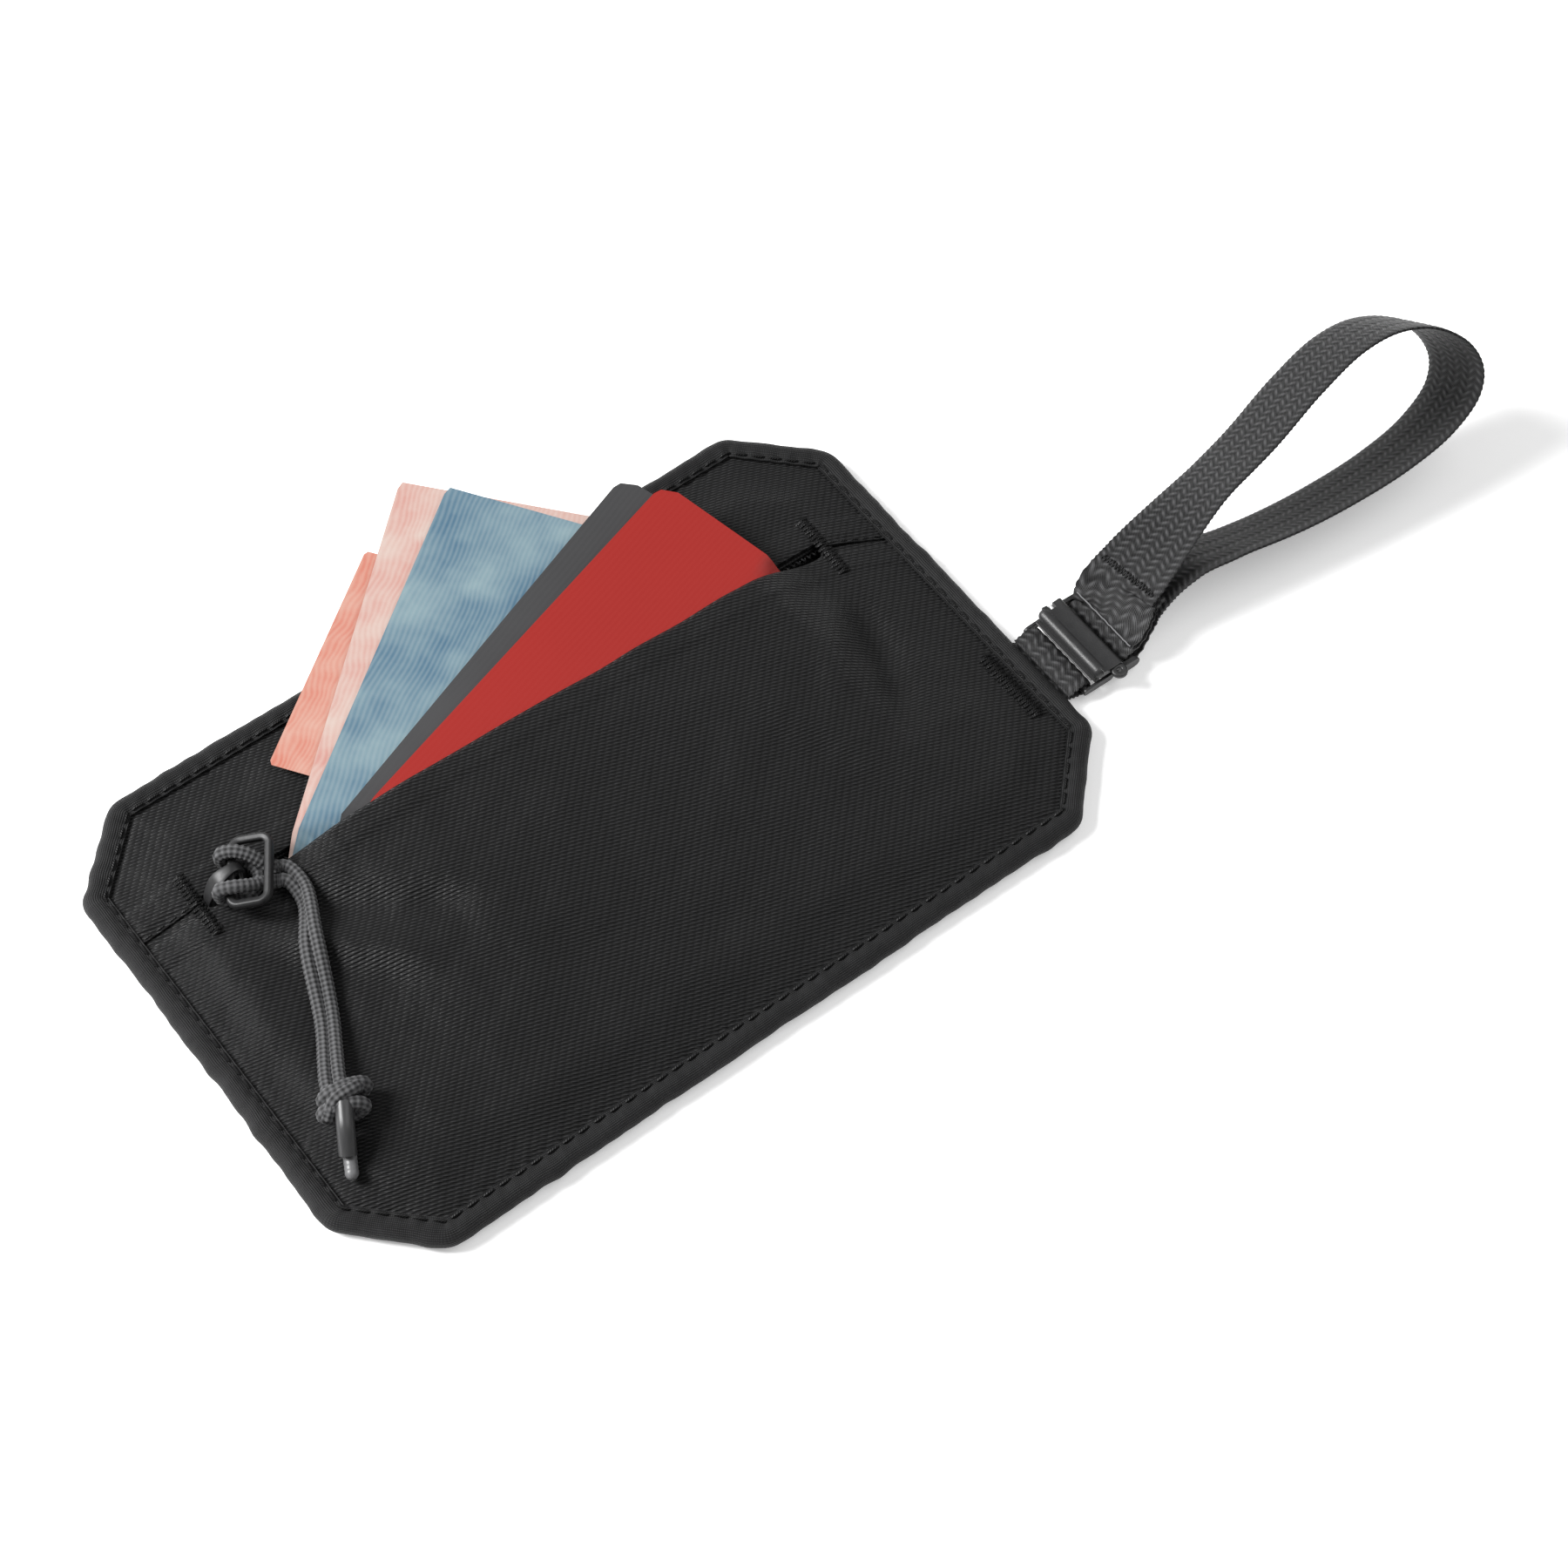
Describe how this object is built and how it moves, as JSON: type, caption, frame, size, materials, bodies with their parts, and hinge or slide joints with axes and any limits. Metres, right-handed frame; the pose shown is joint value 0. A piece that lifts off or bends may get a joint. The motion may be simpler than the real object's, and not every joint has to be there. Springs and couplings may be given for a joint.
{
  "type": "neck pouch wallet",
  "caption": "Flat zipped fabric neck pouch with cut corners, bound edge, corded zip pull, and a webbing neck loop on a lift-off hook clasp.",
  "frame": {"origin": "centre of the pouch's back face", "axes": "+X along the pouch towards the neck loop, +Y towards the zip edge, +Z out of the front face"},
  "size_m": [0.2543, 0.102, 0.032],
  "materials": {
    "cloth": "woven nylon, soft sheen",
    "binding": "ribbed nylon tape",
    "thread": "twisted polyester thread",
    "webbing": "herringbone nylon webbing",
    "cord": "braided cord",
    "zip_metal": "satin black",
    "zip_coil": "satin",
    "clasp": "fine textured black"
  },
  "bodies": {
    "pouch": {"back_panel": "cloth", "front_panel_lower": "cloth", "front_panel_upper": "cloth", "edge_binding": "binding", "binding_stitch": "thread", "zipper_tape_lower": "binding", "zipper_tape_upper": "binding", "zipper_coil_upper": "zip_coil", "zipper_coil_lower": "zip_coil", "zipper_bottom_stop": "zip_metal", "zipper_top_stop_upper": "zip_metal", "zipper_top_stop_lower": "zip_metal", "bar_tack_left": "thread", "bar_tack_right": "thread", "tab_bar_tack": "thread", "tab_tail": "webbing"},
    "slider": {"slider_body": "zip_metal"},
    "pull": {"pull_ring": "zip_metal", "cord_hitch": "cord"},
    "cord": {"pull_cord": "cord"},
    "tab": {"strap_tab": "webbing", "clasp_catch": "clasp"},
    "hook": {"clasp_hook": "clasp"},
    "strap": {"strap_loop": "webbing", "strap_bar_tack": "thread"}
  },
  "joints": [
    {"name": "zip_travel", "type": "slide", "parent": "pouch", "child": "slider", "axis": [0.9995, -0.0323, 0], "range_m": [0, 0.116], "deforming": ["front_panel_lower", "zipper_tape_lower", "zipper_coil_lower"]},
    {"name": "pull_flip", "type": "hinge", "parent": "slider", "child": "pull", "pos_m": [-0.0571, 0.02384, 0.0085], "axis": [-0.5591, -0.8291, 0], "range_deg": [0, 110]},
    {"name": "cord_swing", "type": "hinge", "parent": "pull", "child": "cord", "pos_m": [-0.04993, 0.01901, 0.00905], "axis": [-0.9322, 0.3621, 0], "range_deg": [0, 60]},
    {"name": "tab_flex", "type": "hinge", "parent": "pouch", "child": "tab", "pos_m": [0.0797, -0.0225, 0.00185], "axis": [0, -1, 0], "range_deg": [-60, 60]},
    {"name": "clasp_release", "type": "slide", "parent": "tab", "child": "hook", "axis": [0, 0, 1], "range_m": [0, 0.006]},
    {"name": "strap_swing", "type": "hinge", "parent": "hook", "child": "strap", "pos_m": [0.0936, -0.0225, 0.002], "axis": [0, -1, 0], "range_deg": [-45, 30]}
  ]
}
